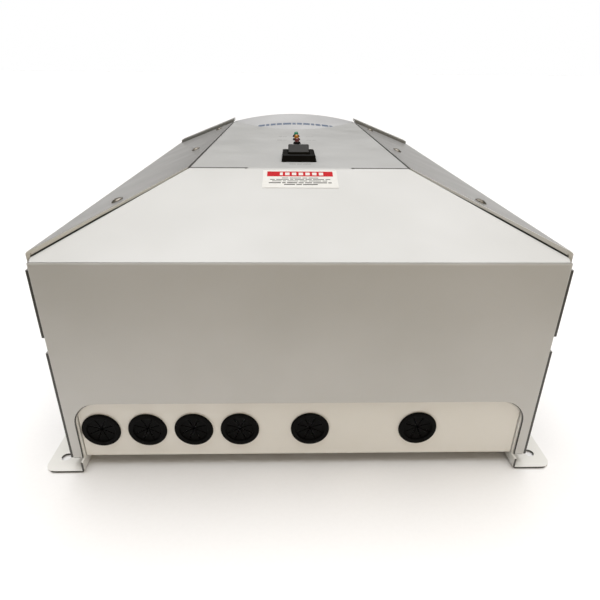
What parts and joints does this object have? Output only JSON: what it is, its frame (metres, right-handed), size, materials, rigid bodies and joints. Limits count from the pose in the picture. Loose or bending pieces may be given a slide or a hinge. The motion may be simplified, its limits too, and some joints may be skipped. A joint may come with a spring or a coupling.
{
  "type": "string inverter",
  "caption": "Wall-mounted string inverter: tapered sheet-metal enclosure on two flanged rails, cable grommets at one end, rocker switch and indicator lamps on top.",
  "frame": {"origin": "in the wall plane, under the middle of the enclosure", "axes": "+Z out of the wall, -Y towards the cable-entry end, X across the width"},
  "size_m": [0.461, 0.602, 0.2565],
  "materials": {
    "white_coat": "smooth white powder coat",
    "side_coat": "light grey powder coat",
    "zinc_sheet": "galvanised sheet",
    "crest_plastic": "moulded gloss plastic",
    "plated_screws": "nickel plated",
    "grommet_rubber": "moulded rubber",
    "switch_plastic": "moulded nylon",
    "paddle_plastic": "moulded nylon, fine texture",
    "terminal_brass": "drawn brass",
    "lamp_red_plastic": "diffused epoxy",
    "lamp_amber_plastic": "diffused epoxy",
    "lamp_green_plastic": "diffused epoxy",
    "label_film": "printed vinyl",
    "sink_aluminium": "mill-finish extrusion",
    "board_laminate": "solder mask over glass-epoxy laminate",
    "capacitor_sleeve": "shrink sleeve",
    "epoxy_black": "moulded epoxy",
    "choke_steel": "varnished laminations",
    "terminal_plastic": "moulded nylon",
    "fuse_ceramic": "glazed tube",
    "guard_wire": "bright plated wire"
  },
  "bodies": {
    "enclosure": {"ac_terminal_block": "terminal_plastic", "badge_crest": "crest_plastic", "board_screws": "plated_screws", "board_standoffs": "plated_screws", "boost_choke_left": "epoxy_black", "boost_choke_right": "epoxy_black", "cable_entry_plate": "white_coat", "cable_grommet_1": "grommet_rubber", "cable_grommet_2": "grommet_rubber", "cable_grommet_3": "grommet_rubber", "cable_grommet_4": "grommet_rubber", "cable_grommet_5": "grommet_rubber", "cable_grommet_6": "grommet_rubber", "chassis_pan": "zinc_sheet", "control_board": "board_laminate", "dc_link_capacitors": "capacitor_sleeve", "dc_terminal_block": "terminal_plastic", "facet_screws": "plated_screws", "fan_frame": "switch_plastic", "fan_guard": "guard_wire", "fan_screws": "plated_screws", "filter_capacitors": "terminal_plastic", "floor_screws": "plated_screws", "front_cover": "white_coat", "fuse_holders": "epoxy_black", "fuses": "fuse_ceramic", "ground_bar": "terminal_brass", "heat_sink": "sink_aluminium", "indicator_board": "board_laminate", "indicator_posts": "plated_screws", "lamp_amber": "lamp_amber_plastic", "lamp_green": "lamp_green_plastic", "lamp_holders": "switch_plastic", "lamp_red": "lamp_red_plastic", "mounting_rail_left": "white_coat", "mounting_rail_right": "white_coat", "output_choke": "choke_steel", "power_board": "board_laminate", "power_transistors": "epoxy_black", "rail_screws": "plated_screws", "rear_band_left": "side_coat", "rear_band_right": "side_coat", "rear_end_plate": "side_coat", "relays": "terminal_plastic", "rocker_bezel": "switch_plastic", "seam_rail_left": "zinc_sheet", "seam_rail_right": "zinc_sheet", "side_cover_left": "side_coat", "side_cover_right": "side_coat", "slope_label": "label_film", "switch_terminals": "terminal_brass", "terminal_rails": "zinc_sheet", "terminal_screws": "plated_screws", "transistor_clamps": "zinc_sheet"},
    "rocker": {"rocker_paddle": "paddle_plastic"},
    "fan_wheel": {"fan_rotor": "switch_plastic"}
  },
  "joints": [
    {"name": "rocker_tilt", "type": "hinge", "parent": "enclosure", "child": "rocker", "pos_m": [0, -0.1005, 0.245], "axis": [-1, 0, 0], "range_deg": [0, 20]},
    {"name": "fan_spin", "type": "hinge", "parent": "enclosure", "child": "fan_wheel", "pos_m": [0, 0.265, 0.063], "axis": [0, 1, 0], "continuous": true}
  ]
}
